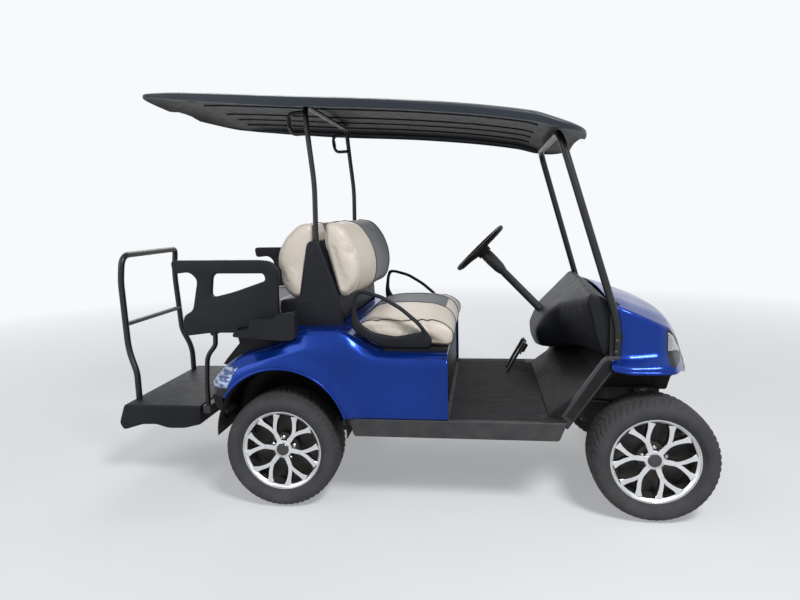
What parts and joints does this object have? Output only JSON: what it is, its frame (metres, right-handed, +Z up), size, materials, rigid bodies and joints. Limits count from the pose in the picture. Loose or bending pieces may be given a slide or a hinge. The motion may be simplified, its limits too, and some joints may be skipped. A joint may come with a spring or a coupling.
{
  "type": "four-seat golf cart",
  "caption": "Lifted electric golf cart with a canopy roof, two front seats, a rear-facing flip seat, footrest and grab bar.",
  "frame": {"origin": "on the ground under the middle of the whole cart", "axes": "+X forward, +Y to the driver's side (left), +Z up"},
  "size_m": [2.8817, 1.2, 1.944],
  "materials": {
    "tyre": "matt black road tyre",
    "rim": "machined face, black windows",
    "steel_black": "black powder coat",
    "floor": "grey textured coat",
    "mat": "ribbed rubber",
    "sill": "grey moulded",
    "body_blue": "metallic royal blue",
    "trim_black": "grained black moulding",
    "trim_grey": "dark grey textured moulding",
    "roof": "satin black moulding",
    "lens": "clear lamp lens",
    "vinyl": "stone vinyl with grey insert",
    "axle": "satin black paint",
    "power": "plain block"
  },
  "bodies": {
    "root": {"chassis_frame": "steel_black", "floor_pan": "floor", "floor_mat": "mat", "rocker_panels": "sill", "rear_body": "body_blue", "arch_liners": "trim_black", "rear_bulkhead": "trim_black", "power_unit": "power", "front_cowl": "body_blue", "lamps": "lens", "front_bumper": "trim_black", "dash": "trim_black", "toe_board": "trim_black", "roof": "roof", "front_struts": "steel_black", "rear_struts": "steel_black", "seat_back_frame": "trim_black", "front_seat_back": "vinyl", "rear_seat_back": "vinyl", "rear_seat_frame": "steel_black", "rear_armrests": "trim_grey", "footrest": "trim_grey", "grab_bar": "steel_black", "steering_column": "steel_black", "pedals": "steel_black", "front_axle": "axle", "rear_axle": "axle", "leaf_springs": "axle"},
    "steering_wheel": {"steering_wheel": "trim_black"},
    "knuckle_left": {"knuckle_left": "axle"},
    "knuckle_right": {"knuckle_right": "axle"},
    "tie_rod": {"tie_rod": "axle"},
    "front_seat": {"front_seat_board": "trim_grey", "front_seat_cushion": "vinyl", "hip_restraints": "trim_black"},
    "rear_seat": {"rear_seat_deck": "trim_grey", "rear_seat_cushion": "vinyl"},
    "wheel_front_left": {"rim_front_left": "rim", "tyre_front_left": "tyre"},
    "wheel_front_right": {"rim_front_right": "rim", "tyre_front_right": "tyre"},
    "wheel_rear_left": {"rim_rear_left": "rim", "tyre_rear_left": "tyre"},
    "wheel_rear_right": {"rim_rear_right": "rim", "tyre_rear_right": "tyre"}
  },
  "joints": [
    {"name": "steering", "type": "hinge", "parent": "root", "child": "steering_wheel", "pos_m": [0.422, 0.28, 1.152], "axis": [-0.6947, 0, 0.7193], "range_deg": [-420, 420]},
    {"name": "knuckle_left_turn", "type": "hinge", "parent": "root", "child": "knuckle_left", "pos_m": [1.17, 0.33, 0.271], "axis": [0, 0, 1], "range_deg": [-28, 28]},
    {"name": "knuckle_right_turn", "type": "hinge", "parent": "root", "child": "knuckle_right", "pos_m": [1.17, -0.33, 0.271], "axis": [0, 0, 1], "range_deg": [-28, 28]},
    {"name": "tie_rod_swing", "type": "hinge", "parent": "knuckle_left", "child": "tie_rod", "pos_m": [1.06, 0.33, 0.224], "axis": [0, 0, 1], "range_deg": [-28, 28]},
    {"name": "front_left_spin", "type": "hinge", "parent": "knuckle_left", "child": "wheel_front_left", "pos_m": [1.17, 0.48, 0.271], "axis": [0, 1, 0], "continuous": true},
    {"name": "front_right_spin", "type": "hinge", "parent": "knuckle_right", "child": "wheel_front_right", "pos_m": [1.17, -0.48, 0.271], "axis": [0, 1, 0], "continuous": true},
    {"name": "rear_left_spin", "type": "hinge", "parent": "root", "child": "wheel_rear_left", "pos_m": [-0.499, 0.48, 0.271], "axis": [0, 1, 0], "continuous": true},
    {"name": "rear_right_spin", "type": "hinge", "parent": "root", "child": "wheel_rear_right", "pos_m": [-0.499, -0.48, 0.271], "axis": [0, 1, 0], "continuous": true},
    {"name": "front_seat_tilt", "type": "hinge", "parent": "root", "child": "front_seat", "pos_m": [0.289, 0, 0.739], "axis": [0, 1, 0], "range_deg": [0, 30]},
    {"name": "rear_seat_flip", "type": "hinge", "parent": "root", "child": "rear_seat", "pos_m": [-0.954, 0, 0.835], "axis": [0, -1, 0], "range_deg": [0, 180]}
  ],
  "couplings": [
    {"joint": "knuckle_left_turn", "follows": "steering", "ratio": 0.0666},
    {"joint": "knuckle_right_turn", "follows": "steering", "ratio": 0.0666},
    {"joint": "tie_rod_swing", "follows": "steering", "ratio": -0.0666}
  ]
}
